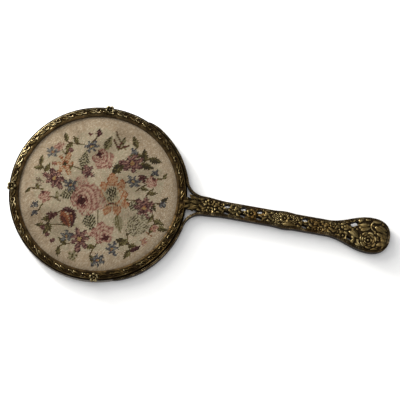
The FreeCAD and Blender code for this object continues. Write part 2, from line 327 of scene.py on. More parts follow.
def brass(name, worn, bright, dark=(0.11, 0.08, 0.045), exposed=True, gloss=0.3):
    """Old brass: dark rough patina in the recesses, metal worn bright on what stands out."""
    dark, worn, bright = linear(dark), linear(worn), linear(bright)
    n = Nodes(name + "_brass")
    if exposed:
        high = n.add("ShaderNodeAttribute", attribute_name="high").outputs["Fac"]
    else:
        high = n.spread(n.add("ShaderNodeNewGeometry").outputs["Pointiness"], 0.47, 0.56)
    cloud = n.noise(160.0, 5.0)
    grain = n.noise(1400.0, 3.0)
    wear = n.math("ADD", high, n.spread(cloud, 0.3, 0.7, -0.22, 0.22))
    wear = n.math("ADD", wear, n.spread(grain, 0.3, 0.7, -0.10, 0.10), clamp=True)
    tint = n.mix(n.spread(n.noise(55.0, 3.0), 0.4, 0.62), worn, tinged(worn, (0.72, 0.80, 0.90)))
    tint = n.mix(n.spread(n.noise(34.0, 2.0), 0.55, 0.72), tint, tinged(worn, (1.08, 0.93, 0.76)))
    colour = n.mix(n.spread(wear, 0.18, 0.62), dark, tint)
    colour = n.mix(n.spread(wear, 0.66, 1.0), colour, bright)
    rough = n.math("ADD", n.spread(wear, 0.15, 0.9, 0.66, gloss), n.spread(grain, 0.3, 0.7, -0.05, 0.05))
    relief = n.math("ADD", grain, n.math("MULTIPLY", cloud, 0.6))
    return n.finish(relief, 0.35, 0.00006, Base_Color=colour, Roughness=rough, Metallic=1.0)


def materials():
    gold, hollow = (0.53, 0.465, 0.315), (0.05, 0.04, 0.03)
    return {
        "relief": brass("relief", (0.37, 0.305, 0.18), gold),
        "root": brass("root", (0.27, 0.22, 0.125), (0.45, 0.39, 0.26)),
        "rosette": brass("rosette", (0.35, 0.295, 0.185), (0.56, 0.51, 0.375)),
        "rim": brass("rim", (0.29, 0.23, 0.12), (0.70, 0.63, 0.47), (0.125, 0.09, 0.05), gloss=0.24),
        "rail": brass("rail", (0.25, 0.195, 0.12), (0.52, 0.46, 0.34)),
        "lip": brass("lip", (0.27, 0.21, 0.125), (0.42, 0.32, 0.21), gloss=0.36),
        # a darker copy of the brass for the glass-side rim: painted shade
        "front": brass("front_rim", (0.25, 0.20, 0.12), (0.40, 0.34, 0.22)),
        "plate": brass("plate", (0.09, 0.07, 0.045), (0.16, 0.125, 0.08), hollow, False, 0.55),
        # a darker copy of the brass for the side wall: painted shade on faces turned from the lights
        "wall": brass("wall", (0.18, 0.14, 0.085), (0.33, 0.275, 0.175), exposed=False, gloss=0.38),
        "pin": brass("pin", (0.33, 0.27, 0.16), gold, exposed=False),
        "glass": glass_material(),
        "silver": silver_material(),
        "felt": felt_material(),
        "card": card_material(),
        "wadding": wadding_material(),
        "stitches": stitch_material(),
    }


def glass_material():
    n = Nodes("plate_glass")
    smear = n.noise(90.0, 5.0)
    rough = n.spread(smear, 0.45, 0.75, 0.004, 0.03)
    return n.finish(n.noise(25.0, 2.0), 0.02, 0.00002, Base_Color=linear((0.95, 0.98, 0.96)),
                    Roughness=rough, Transmission_Weight=1.0, IOR=1.5)


def silver_material():
    """Silvering with a few foxed specks."""
    n = Nodes("old_silvering")
    spots = n.spread(n.noise(420.0, 5.0, 0.7), 0.69, 0.74)
    colour = n.mix(spots, linear((0.93, 0.93, 0.91)), linear((0.42, 0.36, 0.28)))
    rough = n.spread(n.noise(60.0), 0.3, 0.7, 0.012, 0.04)
    return n.finish(spots, 0.05, 0.00002, Base_Color=colour, Roughness=rough, Metallic=1.0)


def fibrous(name, scale, coarse, dark, pale, bump, rough, **more):
    """A matt stuff flecked between two tones; bump is how strong and how deep its nap is."""
    n = Nodes(name)
    fleck = n.noise(scale, 6.0, coarse)
    colour = n.mix(n.spread(fleck, 0.3, 0.7), linear(dark), linear(pale))
    return n.finish(fleck, *bump, Base_Color=colour, Roughness=n.spread(fleck, 0.2, 0.8, *rough), **more)


def felt_material():
    return fibrous("grey_felt", 2600.0, 0.7, (0.27, 0.24, 0.20), (0.42, 0.38, 0.31),
                   (0.6, 0.0002), (0.85, 0.98), Sheen_Weight=0.3)


def card_material():
    return fibrous("pressed_card", 1500.0, 0.65, (0.50, 0.42, 0.31), (0.62, 0.54, 0.42),
                   (0.4, 0.0001), (0.75, 0.95))


def wadding_material():
    return fibrous("cotton_wadding", 500.0, 0.7, (0.80, 0.76, 0.68), (0.92, 0.90, 0.84),
                   (0.8, 0.0005), (0.88, 1.0), Sheen_Weight=0.2)


def stitch_material():
    """Wool and cotton thread: the stitch's colour as painted on its corners, painted shade included, with
    fibres along it and soiling.
    """
    n = Nodes("petit_point_thread")
    thread = n.add("ShaderNodeAttribute", attribute_name="thread").outputs["Color"]
    turn = n.add("ShaderNodeMapping", {"Vector": n.place(), "Rotation": (0, 0, -(UPRIGHT + SLANT)),
                                       "Scale": (1.0, 5.0, 1.0)}).outputs["Vector"]
    fibre = n.noise(2400.0, 3.0, 0.6, turn)
    soil = n.noise(38.0, 5.0, 0.6)
    shade = n.mix(n.spread(fibre, 0.25, 0.75), (0.80, 0.80, 0.80), (1.14, 1.14, 1.14))
    colour = n.mix(1.0, thread, shade, "MULTIPLY")
    colour = n.mix(n.spread(soil, 0.42, 0.72, 0.0, 0.45), colour, linear((0.47, 0.40, 0.31)), "MULTIPLY")
    return n.finish(fibre, 0.5, 0.00008, Base_Color=colour, Specular_IOR_Level=0.08,
                    Roughness=n.spread(fibre, 0.2, 0.8, 0.8, 0.98))


# ---- needlework ------------------------------------------------------------------------------
STITCH = 0.8                            # pitch of the canvas, about 32 to the inch
ROW = STITCH / sqrt(2)                  # tent stitches slant, so their rows run on the diagonal
RELIEF = 0.22                           # how far a stitch stands over the gaps round it
SLANT = pi / 4                          # of the rows of stitches to the picture
WORKED_R = WINDOW_R + 0.3               # the worked round goes just under the lip
HEM = 9.0                               # canvas turned in beneath the board
CREASE_WIDTH = 2.2                      # of the shade along the lip
UNEVEN_ALONG, UNEVEN_ACROSS = 0.035, 0.025  # spread of the stitches' places, from pulling
PANEL_RISE = PANEL_TOP - PANEL_EDGE_TOP
SOILED = np.array([0.90, 0.915, 0.935])  # a century of dust and light, on the display colours
THREADS = {
    "ground": (0.63, 0.55, 0.445), "ground_warm": (0.60, 0.515, 0.405), "ground_pale": (0.69, 0.62, 0.515),
    "ground_cool": (0.62, 0.57, 0.46), "pink": (0.55, 0.40, 0.335), "pink_pale": (0.65, 0.53, 0.44),
    "rose": (0.43, 0.26, 0.22), "wine": (0.30, 0.165, 0.14), "heart": (0.20, 0.095, 0.085),
    "peach": (0.62, 0.48, 0.355), "orange": (0.53, 0.33, 0.215), "rust": (0.42, 0.24, 0.16),
    "cream": (0.67, 0.60, 0.465), "plum": (0.24, 0.14, 0.13), "mauve": (0.40, 0.285, 0.25),
    "navy": (0.195, 0.175, 0.17), "blue": (0.305, 0.29, 0.28), "sky": (0.445, 0.43, 0.39),
    "yellow": (0.57, 0.475, 0.30), "olive": (0.35, 0.305, 0.175), "moss": (0.22, 0.18, 0.10),
    "sage": (0.45, 0.41, 0.28), "mist": (0.52, 0.475, 0.36), "pine": (0.18, 0.155, 0.10),
    "bark": (0.26, 0.185, 0.11), "grey": (0.37, 0.32, 0.25), "canvas": (0.50, 0.45, 0.36),
}


def thread(tone):
    """A thread's colour as it is now, soiled, as linear light."""
    return linear(SOILED * THREADS[tone])


# the dark, middle and light tones of each kind of leaf
LEAF_TONES = {
    "green": ("moss", "olive", "sage"), "dark": ("pine", "moss", "olive"), "pale": ("moss", "sage", "mist"),
    "misty": ("olive", "mist", "mist"), "shadow": ("pine", "mist", "ground_cool"),
    "plum": ("heart", "plum", "mauve"), "russet": ("wine", "rust", "orange"),
}

# the bouquet's rings, as shares of the window's radius
HEART, NEAR, MIDDLE, BLOOM, SPRIG, EDGE = 0.18, 0.34, 0.48, 0.60, 0.70, 0.82
BOUQUET_DOWN = 3.0                      # its middle hangs a little under the panel's


def at(clock, ring):
    """A place on the panel by its clock direction and its ring."""
    angle = radians(90.0 - 30.0 * clock)
    return ring * WINDOW_R * cos(angle), ring * WINDOW_R * sin(angle) - BOUQUET_DOWN


class Needlework(Plan):
    """Colours of the stitches, worked motif by motif; X is right and Y is up on the panel."""

    def __init__(self, x, y, seed):
        super().__init__(x, y)
        self.rng = np.random.default_rng(seed)
        self.colour = np.zeros((len(x), 3))
        self.fill(np.ones(len(x), bool), ("ground", "ground", "ground_warm", "ground_pale"))
        field = np.hypot(x, y) < 50.0 + 3.0 * np.sin(5.0 * np.arctan2(y, x))
        self.fill(field, ("ground_cool", "ground_cool", "ground", "ground_pale"))

    def fill(self, mask, tones):
        """Work the masked stitches in threads drawn at random from the tones."""
        places = np.flatnonzero(mask)
        palette = np.array([thread(t) for t in tones])
        self.colour[places] = palette[self.rng.integers(0, len(tones), len(places))]

    def around(self, x, y, wobble=0.5):
        """Distance and direction from a place, uneven by part of a stitch as hand work is."""
        dx, dy = self.local(x, y)
        dx = dx + self.rng.uniform(-wobble, wobble, len(dx))
        dy = dy + self.rng.uniform(-wobble, wobble, len(dy))
        return np.hypot(dx, dy), np.arctan2(dy, dx)

    def disc(self, x, y, r, *tones):
        self.fill(self.around(x, y)[0] < r, tones)

    def stem(self, points, tone="bark", width=0.55):
        for px, py in smooth_path(points, 40):
            self.fill(self.polar(px, py)[0] < width, (tone, tone, "olive"))

    def leaf(self, x, y, length, angle, kind="green", plump=0.5):
        """A leaf growing from its foot: one half in shade, a broken midrib and a toothed edge."""
        dark, middle, light = LEAF_TONES[kind]
        length = length * 1.12
        along, across = self.local(x, y, angle)
        shade_side = 1 if 0.8 * sin(radians(angle)) - 0.6 * cos(radians(angle)) > 0 else -1
        t = unit(along / length)
        half = length * plump * 0.5 * np.sin(pi * t ** 0.8) * (1.0 + 0.18 * np.sin(along * 3.6))
        inside = (along > 0) & (along < length) & (np.abs(across) < np.maximum(half, 0.55))
        chance = self.rng.random(len(t))
        self.fill(inside, (middle, middle, light))
        if kind == "shadow":
            veins = np.abs(np.sin(1.3 * along + 1.1 * np.abs(across))) > 0.6
            self.fill(inside & veins & (chance < 0.9), (dark, dark, "moss"))
            return
        self.fill(inside & (across * shade_side > 0.1) & (chance < 0.8), (dark, dark, middle))
        self.fill(inside & (across * shade_side < 0.6 - half) & (chance < 0.45), (dark, middle))
        self.fill(inside & (np.abs(across) < 0.35) & (chance > 0.3), (dark,))

    def spray(self, points, leaves=(), tone="bark"):
        """A stem with leaves set along it: (how far along, side, length, kind); side 0 ends it."""
        self.stem(points, tone)
        path = smooth_path(points, 41)
        for share, side, length, kind in leaves:
            k = min(int(share * 40), 39)
            way = np.degrees(np.arctan2(*(path[k + 1] - path[k])[::-1]))
            self.leaf(*path[k], length, way + side * 52.0, kind)

    def rose(self, x, y, r, heart, tones=("rose", "pink", "pink_pale")):
        """A full-blown rose: scalloped petals in turns about a dark heart set off its middle."""
        deep, middle, pale = tones
        rho, phi = self.around(x, y, 0.45)
        hx, hy, heart_r = heart
        from_heart, turn = self.around(x + hx, y + hy, 0.3)
        scallop = r * (0.91 + 0.11 * np.cos(5 * phi + x))
        inside = rho < scallop
        curl = from_heart / (0.33 * r) + turn / (2 * pi) + 0.24 * np.sin(3 * turn + y)
        band = curl % 1.0
        self.fill(inside, (pale, pale, middle, "ground"))
        self.fill(inside & (band < 0.50), (middle, middle, pale))
        self.fill(inside & (band < 0.27), (deep, deep, middle))
        self.fill(inside & (rho > scallop - 1.2) & (np.cos(5 * phi + x) > -0.3), (deep, middle, middle))
        self.fill(inside & (from_heart < heart_r * 1.6) & (np.sin(4 * turn) > -0.2), (deep, "wine"))
        self.fill(inside & (from_heart < heart_r), ("heart", "heart", "wine"))

    def star(self, x, y, r, petals, edge, infill, eye=("yellow", "yellow", "orange"), turn=0.0, slim=0.7):
        """A flower of separate petals, outlined more heavily on their shaded side, about a small eye."""
        rho, phi = self.around(x, y, 0.6)
        uneven = 1.0 + 0.13 * np.sin(2 * phi + x) + 0.09 * np.sin(3 * phi + y)
        swing = petals * (phi - radians(turn)) / 2 + 0.25 * np.sin(phi + x + y)
        lobe = np.abs(np.cos(swing))
        limit = r * uneven * (0.34 + 0.70 * lobe ** slim)
        inside = rho < limit
        shaded = np.sin(2 * swing) > 0
        chance = self.rng.random(len(rho))
        outline = (rho > limit - np.where(shaded, 1.3, 0.5)) | ((lobe < 0.6) & shaded)
        self.fill(inside, infill)
        self.fill(inside & outline & (chance < 0.85), edge)
        self.fill(inside & (rho < 0.36 * r) & (chance < 0.8), edge)
        if eye:
            self.fill(rho < max(0.20 * r, 0.8), eye)

    def brush(self, x, y, r, angle, tones):
        """A shaggy head worked in short slanting dashes."""
        along, across = self.local(x, y, angle)
        rho = np.hypot(along / 1.2, across) + self.rng.uniform(-0.8, 0.8, len(along))
        self.fill(rho < 0.9 * r, ("grey", "mist", "ground_cool", "ground_cool"))
        dash = (np.sin(1.1 * along + 2.0 * np.sin(1.7 * across)) > -0.6) & (np.sin(3.4 * across + x) > -0.5)
        self.fill((rho < r) & dash, tones)


def sprig(n, clock, start, end, lean, leaves, length=7, kind="green", tone="bark"):
    """A curved stem outward from one ring to another, leaning round the clock, leaves in turn."""
    points = [at(clock, start), at(clock + 0.7 * lean, (start + end) / 2), at(clock + lean, end)]
    sides = [(0.3 + 0.6 * k / max(leaves - 1, 1), 1 if k % 2 else -1, length, kind) for k in range(leaves)]
    n.spray(points, sides, tone)


def work_leaves(n):
    """Free leaves, the sprigs round the bouquet and in it, and stems between the flowers."""
    n.leaf(*at(11, MIDDLE - 0.08), 14, 80, "shadow", 0.5)
    n.leaf(*at(9, MIDDLE), 15, 15, "shadow", 0.5)
    n.leaf(*at(1, NEAR), 13, 40, "dark", 0.5)
    n.leaf(*at(12.25, BLOOM), 12, 65, "pale", 0.45)
    n.leaf(*at(4.5, NEAR), 13, -80, "misty", 0.5)
    n.leaf(*at(5.25, BLOOM), 9, -25, "dark", 0.5)
    n.leaf(*at(7, NEAR - 0.08), 13, -75, "shadow", 0.7)
    n.leaf(*at(3.5, NEAR + 0.05), 10, -20, "shadow", 0.7)
    sprig(n, 11.5, SPRIG, EDGE + 0.02, -0.5, 3)
    sprig(n, 11.75, SPRIG, EDGE, 0.25, 0)
    sprig(n, 1, SPRIG, EDGE + 0.05, -0.5, 1, 6, "pale")
    sprig(n, 1.25, BLOOM, EDGE, 0, 2, 9)
    sprig(n, 1.75, BLOOM, EDGE, 0, 3, 10, "dark")
    sprig(n, 2.25, BLOOM, EDGE + 0.06, 0.25, 2, 5)
    sprig(n, 2.75, MIDDLE, SPRIG, -0.25, 2, 6)
    sprig(n, 3.25, BLOOM, EDGE, 0, 2, 7, "dark")
    sprig(n, 3, BLOOM, SPRIG, -0.25, 1)
    sprig(n, 3.5, SPRIG, EDGE + 0.04, 0.5, 4, 8)
    sprig(n, 4.25, BLOOM + 0.06, EDGE + 0.02, 0, 0, tone="rust")
    sprig(n, 4.75, BLOOM, EDGE, 0.25, 3, 8)
    sprig(n, 6, BLOOM, EDGE - 0.04, 0.25, 2, 8)
    sprig(n, 7, SPRIG, EDGE, 0.25, 2)
    sprig(n, 7.25, MIDDLE, SPRIG + 0.04, 0.75, 2, 8)
    sprig(n, 8.25, BLOOM, EDGE - 0.04, -0.25, 3)
    sprig(n, 8.75, SPRIG, EDGE, -0.25, 0)
    sprig(n, 9.25, SPRIG, EDGE + 0.06, 0, 2, 5)
    sprig(n, 9.75, SPRIG, EDGE + 0.04, 0.25, 3)
    sprig(n, 10.75, BLOOM, SPRIG + 0.06, 0, 1, 8)
    sprig(n, 10.25, MIDDLE, BLOOM, 0.25, 1, 6)
    sprig(n, 8.75, MIDDLE, BLOOM, 0.25, 2, 6, "misty")
    for clock, inner, outer in ((12, MIDDLE, BLOOM), (9.75, NEAR, BLOOM), (3.25, NEAR, BLOOM),
                                (6, HEART, MIDDLE), (8.25, MIDDLE, SPRIG)):
        n.stem([at(clock, inner), at(clock, outer)])
    n.stem([at(10.5, BLOOM), at(11.25, NEAR)])
    n.stem([at(6.75, BLOOM), at(6, MIDDLE)])


# tones of a flower's outline and of its infill
PLUM = (("plum", "plum", "heart", "mauve"), ("mauve", "mauve", "plum", "pink"))
MAROON = (("wine", "heart"), ("mauve", "wine"))
NAVY = (("navy", "navy", "blue"), ("blue", "blue", "sky"))
BLUE = (("navy", "blue", "blue"), ("blue", "sky", "sky"))
AMBER = (("rust", "orange", "orange"), ("peach", "orange", "cream"))
PETALS = (("rose", "pink"), ("pink", "pink_pale"))


def work_blooms(n):
    """The orange and pink blooms, the roses above and below them, and a small flower by the lower one."""
    x, y = at(3, HEART)
    n.star(x, y, 14.5, 9, ("orange", "orange", "rust"), ("peach", "orange", "peach"), None, 10.0, 0.3)
    n.rose(x, y, 11, (1, 3, 1.2), ("orange", "peach", "ground_cool"))
    n.disc(x, y, 6, "ground_cool", "cream", "mist")
    n.leaf(x - 5, y + 2, 9, 25, "shadow", 0.6)
    n.leaf(x - 4, y - 4, 9, 40, "shadow", 0.5)
    n.stem([(x - 5, y - 8), (x, y - 6), (x + 4, y - 8)], "wine")
    x, y = at(8.5, HEART)
    n.star(x + 2, y + 2, 14, 5, ("rose", "pink", "pink"), ("pink_pale", "pink", "ground_cool"), None,
           118.0, 0.25)
    n.rose(x + 2, y + 1, 12, (-4, -2, 3.2))
    n.rose(*at(12.25, MIDDLE), 9, (-3, 4, 1.9))
    n.rose(*at(5.75, MIDDLE), 9, (2, -4, 2.2))
    n.star(*at(6.25, MIDDLE), 4, 3, *PETALS, None, 200.0)


def work_ring(n):
    """Plum, blue and amber flowers round the great blooms."""
    for clock, turn in ((1.5, 20), (3.5, 75), (6.75, 0), (9.75, 50)):
        n.star(*at(clock, BLOOM), 8.5, 7, *PLUM, turn=turn, slim=0.55)
    n.star(*at(11.25, NEAR), 5.5, 5, *PLUM, turn=40, eye=("mauve",))
    for clock, ring, turn in ((2.25, MIDDLE, 10), (9.75, NEAR + 0.04, 20), (11.75, SPRIG - 0.04, 0),
                              (5.5, SPRIG, 0), (6, EDGE, 40)):
        n.star(*at(clock, ring), 5.4, 6, *NAVY, turn=turn, slim=0.9)
    for clock, ring in ((10.5, EDGE), (7.25, BLOOM + 0.04)):
        n.star(*at(clock, ring), 4.8, 5, *BLUE, turn=15)
    for clock, ring in ((3.25, EDGE), (2.25, EDGE - 0.04), (8.5, EDGE), (8.75, EDGE - 0.02),
                        (1.25, SPRIG + 0.04)):
        n.star(*at(clock, ring), 3, 4, *NAVY, None, 45.0)
    n.star(*at(10.5, BLOOM), 8.5, 6, *AMBER, ("pine", "moss"), 60.0, 1.6)
    n.disc(*at(10.25, SPRIG), 1.8, "pink", "rust")


def work_outskirts(n):
    """Small roses, flowers, buds and berries towards the bouquet's edge."""
    n.star(*at(10.75, EDGE), 3.8, 5, *PETALS, None, 35.0)
    n.disc(*at(11, SPRIG), 2, "wine", "mauve")
    n.leaf(*at(12, EDGE - 0.04), 6, 84, "plum", 0.7)
    n.disc(*at(11.75, EDGE), 1.5, "mauve", "wine")
    n.rose(*at(2.5, SPRIG), 5, (2, 3, 1.5))
    n.rose(*at(9, SPRIG - 0.03), 5, (-2, 3, 1.2))
    n.star(*at(2.25, BLOOM), 3.6, 4, *MAROON, None, 30.0)
    for clock in (0.5, 0.75, 1):
        n.stem([at(0.75, BLOOM + 0.06), at(clock, SPRIG + 0.06)], "wine", 0.8)
    n.star(*at(8.25, BLOOM + 0.03), 3.8, 5, *MAROON, None, 20.0)
    for clock in (7.5, 7.75, 8):
        n.disc(*at(clock, EDGE - 0.02), 2, "wine", "plum", "mauve")
    n.leaf(*at(5, EDGE), 8, 30, "plum", 0.4)
    for clock, turn in ((4, 10), (4.5, 70)):
        n.star(*at(clock, EDGE), 3.2, 4, ("rose", "pink"), ("pink", "peach"), None, turn)
    n.star(*at(6.75, EDGE), 4, 5, ("olive", "moss"), ("sage", "mist"), None)
    n.star(*at(9.5, EDGE - 0.05), 3.6, 5, ("grey", "mauve"), ("sage", "ground_cool"), None)


def work_shaggy(n):
    """The rust flower with its fan of petals, and the grey shaggy one."""
    x, y = at(7.75, MIDDLE)
    n.disc(x, y, 5, "cream", "ground_cool", "peach")
    n.leaf(x - 5, y + 7, 14, -66, "russet", 0.42)
    n.leaf(x - 4, y + 8, 10, -12, "plum", 0.42)
    n.leaf(x + 5, y + 7, 13, -98, "plum", 0.34)
    n.leaf(x + 1, y + 5, 8, -70, "russet", 0.3)
    n.brush(*at(4.25, BLOOM + 0.02), 8.5, 42.0, ("grey", "grey", "mist", "moss", "mist", "ground_cool"))


def dome(r):
    """How far the padded panel stands over its edge."""
    return PANEL_RISE * (1.0 - unit(r / WINDOW_R) ** 2.5)


def stitch_lattice():
    """Crests and gaps of the stitches: half a thread long by half a row wide, on the diagonal."""
    reach = int(WINDOW_R / ROW) + 3
    along = np.arange(-reach, reach + 1)
    across = np.arange(-2 * reach, 2 * reach + 1)
    i, j = np.meshgrid(along, across, indexing="ij")
    return i, j


def stitches_of(faces, i, j):
    """Which stitch each quad belongs to, by the crest and middle that it touches, and their middles."""
    along, across, cols = i[:, 0], j[0], i.shape[1]
    cell_i, cell_j = np.divmod(faces[:, 0], cols)
    crest = np.where(across[cell_j] % 2 == 0, cell_j, cell_j + 1)
    middle = np.where((along[cell_i] + across[crest] // 2) % 2 == 0, cell_i, cell_i + 1)
    places, stitch = np.unique(middle * (cols + 2) + crest, return_inverse=True)
    return stitch.ravel(), along[places // (cols + 2)] * ROW, across[places % (cols + 2)] * ROW / 2


def worked_colours(s, t, rng):
    """The colours of the stitches, a little uneven, with painted shade and dust darkening them into the
    crease at the lip.
    """
    work = Needlework(*rotated(s, t, SLANT), 11)
    for stage in (work_leaves, work_blooms, work_ring, work_outskirts, work_shaggy):
        stage(work)
    # painted shade, with some dust, darker into the crease along the lip
    crease = 1.0 - 0.38 * np.exp(-(WINDOW_R - np.hypot(s, t)) / CREASE_WIDTH)
    shade = rng.normal(1.0, 0.075, len(s)) * crease
    return unit(work.colour * shade[:, None])


def petit_point(material):
    """The stitched panel: a crest along each stitch, at full height in its middle."""
    rng = np.random.default_rng(7)
    i, j = stitch_lattice()
    on_crest, at_middle = j % 2 == 0, (i + j // 2) % 2 == 0
    s = i * ROW + rng.normal(0.0, UNEVEN_ALONG, i.shape)
    t = j * ROW / 2 + rng.normal(0.0, UNEVEN_ACROSS, i.shape)
    x, y = rotated(s, t, UPRIGHT + SLANT)
    r = np.hypot(x, y)
    lift = np.where(on_crest, np.where(at_middle, 1.0, 0.45), 0.0) * rng.uniform(0.75, 1.05, i.shape)
    slub = np.sin(x * 0.23 + 1.3) * np.sin(y * 0.19 + 0.4) * 0.08
    edge = unit((WINDOW_R - r) / 3.0)
    z = PANEL_EDGE_TOP - RELIEF + dome(r) + (lift * RELIEF + slub) * edge

    faces = grid_faces(*i.shape)
    faces = faces[(r.ravel()[faces] < WINDOW_R).any(axis=1)]
    stitch, mid_s, mid_t = stitches_of(faces, i, j)
    colour = worked_colours(mid_s, mid_t, rng)[stitch]

    outer = r > WORKED_R
    x, y = (np.where(outer, side * WORKED_R / np.maximum(r, 1.0), side) for side in (x, y))
    used, index = np.unique(faces, return_inverse=True)
    points = np.stack([x.ravel(), y.ravel(), z.ravel()], 1)[used]
    # painted shade: stitches are darker in the gaps between them and at their ends
    gap_shade = (0.66 + 0.34 * lift).ravel()[used]
    points, faces = turned_under(points, index.reshape(faces.shape))
    piece = make_piece("petit_point", points, faces, material)
    paint_threads(piece.data, np.repeat(colour, 4, axis=0), gap_shade)
    flat_uv(piece.data)
    install(piece, "petit_point", "petit_point_panel")
    return piece


def turned_under(points, faces):
    """The unworked canvas added: out under the lip, down the board's edge and in beneath it."""
    edges = np.stack([faces, np.roll(faces, -1, axis=1)], 2).reshape(-1, 2)
    forward, backward = edges @ (len(points), 1), edges @ (1, len(points))
    rim = edges[~np.isin(forward, backward)]
    side, under = BOARD_R - 0.1, BOARD_TOP + 0.2
    for radius, height in ((side, PANEL_EDGE_TOP - RELIEF), (side, under), (BOARD_R - HEM, under)):
        last, order = np.unique(rim, return_inverse=True)
        x, y = points[last, 0], points[last, 1]
        scale = radius / np.hypot(x, y)
        beyond = len(points) + order.reshape(rim.shape)
        points = np.concatenate([points, np.stack([x * scale, y * scale, np.full(len(x), height)], 1)])
        faces = np.concatenate([faces, np.concatenate([rim[:, ::-1], beyond], 1)])
        rim = beyond
    return points, faces


def paint_threads(mesh, worked, gap_shade):
    """Thread colours on the corners, with painted shade darker down between the stitches."""
    corners = np.empty(len(mesh.loops), np.int32)
    mesh.loops.foreach_get("vertex_index", corners)
    colour = np.ones((len(corners), 4), np.float32)
    colour[:, :3] = thread("canvas")
    colour[:len(worked), :3] = worked
    shade = np.ones(len(mesh.vertices))
    shade[:len(gap_shade)] = gap_shade
    colour[:, :3] *= shade[corners][:, None]
    layer = mesh.color_attributes.new("thread", "FLOAT_COLOR", "CORNER")
    layer.data.foreach_set("color", colour.ravel())


def flat_uv(mesh):
    """One flat layout seen from above, so that the stitches bake at an even scale."""
    corners = np.empty(len(mesh.loops), np.int32)
    mesh.loops.foreach_get("vertex_index", corners)
    co = np.empty(len(mesh.vertices) * 3)
    mesh.vertices.foreach_get("co", co)
    co = co.reshape(-1, 3)
    span = 2.1 * BOARD_R * MM
    uv = (co[:, :2] - np.array([HEAD_X, HEAD_Y]) * MM) / span + 0.5
    layer = mesh.uv_layers.new(name="OFBake")
    layer.data.foreach_set("uv", uv[corners].astype(np.float32).ravel())


def wadding_pad(material):
    """The lens of wadding that crowns the panel, a little lumpy."""
    low = high_mm("mounting_board", 2)
    rings, steps = 30, 120
    radii = np.linspace(0.4, WINDOW_R - 0.5, rings)
    rng = np.random.default_rng(3)
    top = low + 0.02 + (dome(radii) - 0.1) * 0.93
    profile = list(zip(radii, top)) + [(r, low + 0.01) for r in radii[::-1]]
    points, faces = turned(profile, steps)
    bumpy = points[:, 2] > low + 0.3
    points[bumpy, 2] -= rng.uniform(0.0, 0.12, bumpy.sum())
    piece = make_piece("wadding_pad", points, faces, material)
    install(piece, "wadding", "batting")
    return piece


# ---- cast and stamped relief -----------------------------------------------------------------
class Relief(Plan):
    """Heights over a grid of plan places, built up from ridges, leaves, petals and beads."""

    def __init__(self, u, v):
        super().__init__(u, v)
        self.h = np.zeros_like(u)

    def lift(self, height):
        self.h = np.maximum(self.h, height)

    def bead(self, u, v, r, h):
        du, dv = self.local(u, v)
        self.lift(h * np.sqrt(unit(1.0 - (du ** 2 + dv ** 2) / r ** 2)))

    def ridge(self, points, r, h, end_r=None, end_h=None):
        """A rounded cord that may swell or thin along its way."""
        end_r, end_h = end_r or r, end_h or h
        run = run_along(np.asarray(points, float))[-1]
        path = smooth_path(points, max(int(run / (0.3 * min(r, end_r))), 6))
        for t, (pu, pv) in zip(np.linspace(0, 1, len(path)), path):
            self.bead(pu, pv, r + (end_r - r) * t, h + (end_h - h) * t)

    def leaf(self, u, v, length, angle, h=1.0, plump=0.45, bend=0.0):
        """A leaf from its foot outward: rounded halves, a sunk midrib and slanting veins."""
        along, across = self.local(u, v, angle)
        across = across - bend * along ** 2 / length
        t = unit(along / length)
        half = length * plump * 0.5 * np.sin(pi * t ** 0.75) * (1.0 + 0.10 * np.cos(along * 5.5)) + 1e-6
        q = unit(np.abs(across) / half)
        swell = np.sqrt(1.0 - q ** 2) * (0.6 + 0.4 * np.sin(pi * t ** 0.6))
        veins = 0.10 * np.cos((along - 0.9 * np.abs(across)) * 7.0) * q
        rib = 0.30 * np.exp(-(across / 0.22) ** 2)
        inside = (along > 0) & (along < length) & (q < 1.0)
        self.lift(np.where(inside, h * (swell - veins - rib * (1.0 - t)), 0.0))

    def clear(self, rho, limit):
        """Sink what lies under a flower, and a narrow channel round it."""
        self.h = np.where(rho < limit + 0.35, np.minimum(self.h, 0.12), self.h)

    def blossom(self, u, v, r, petals=5, h=1.2, turn=0.0):
        """Dished petals round a hollow, with a boss in its middle."""
        rho, phi = self.polar(u, v)
        lobe = np.abs(np.cos(petals * (phi - radians(turn)) / 2))
        limit = r * (0.72 + 0.30 * lobe ** 0.6)
        q = unit(rho / limit)
        self.clear(rho, limit)
        dish = np.sqrt(1.0 - q ** 6) * (0.3 + 0.7 * blend((q - 0.25) / 0.45)) * (0.4 + 0.6 * lobe ** 0.4)
        self.lift(np.where(q < 1.0, h * dish, 0.0))
        self.h = np.where(rho < 0.34 * r, 0.2 * h, self.h)
        self.bead(u, v, 0.22 * r, 0.9 * h)

    def rose(self, u, v, r, h):
        """Overlapping cupped petals in three rings round a wound bud."""
        rho, phi = self.polar(u, v)
        self.clear(rho, r)
        for size, height, petals, turn in ((1.0, 1.0, 7, 20.0), (0.72, 0.9, 6, 55.0), (0.45, 0.85, 5, 10.0)):
            lobe = np.abs(np.cos(petals * (phi - radians(turn)) / 2))
            limit = r * size * (0.84 + 0.16 * lobe ** 0.6)
            q = unit(rho / limit)
            self.h = np.where(q < 1.0, np.minimum(self.h, 0.3 * h), self.h)
            cup = q ** 3 * np.sqrt(1.0 - q ** 8) * (0.3 + 0.7 * lobe ** 0.5)
            self.lift(np.where(q < 1.0, 1.5 * h * height * cup, 0.0))
        self.bead(u, v, 0.16 * r, 0.8 * h)

    def scroll(self, u, v, r, start, turns, hand, width, h):
        """A volute wound in to an eye; hand is 1 or -1."""
        t = np.linspace(0.0, 1.0, 14)
        angle = radians(start) + hand * turns * 2 * pi * t
        radius = r * (1.0 - 0.82 * t)
        self.ridge(np.stack([u + radius * np.cos(angle), v + radius * np.sin(angle)], 1),
                   width, h, width * 0.6, h * 0.9)
        self.bead(u, v, width * 1.1, h * 1.1)

    def exposure(self, reach, wrap=False, full=1.0):
        """How far each place stands proud of its surroundings, 0 to 1."""
        proud = self.h - soften(soften(self.h, reach, wrap), reach, wrap)
        return unit(0.5 * blend((self.h / full - 0.12) / 0.6) + 1.3 * proud / full)


